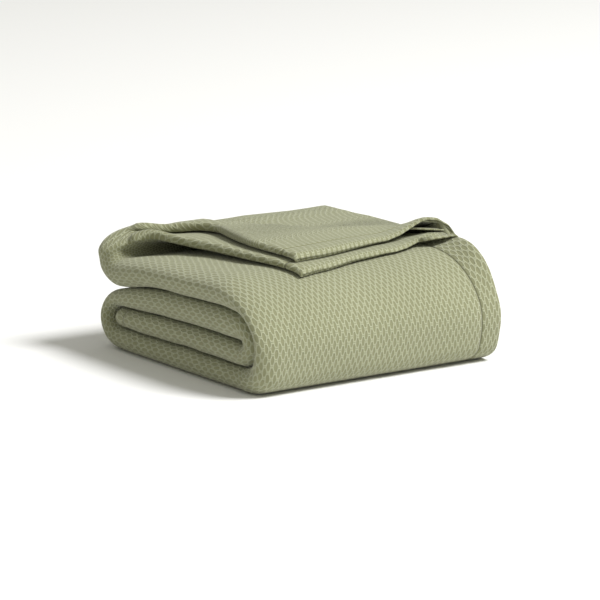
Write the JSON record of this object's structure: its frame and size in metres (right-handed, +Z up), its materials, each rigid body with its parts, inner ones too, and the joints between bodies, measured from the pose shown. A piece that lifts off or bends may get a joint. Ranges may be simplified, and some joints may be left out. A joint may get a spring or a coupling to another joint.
{
  "type": "folded cotton blanket",
  "caption": "Sage-green woven cotton throw blanket, folded and wound into a soft square stack.",
  "frame": {"origin": "bottom centre of the folded blanket's box, on the surface that it lies on", "axes": "+Z up from the surface, -Y to the smooth front face, -X to the side with the rounded folds, +X to the side with the hems"},
  "size_m": [0.3048, 0.3128, 0.1382],
  "materials": {
    "cotton_weave": "matte textured weave"
  },
  "bodies": {
    "root": {"blanket": "cotton_weave"}
  },
  "joints": []
}
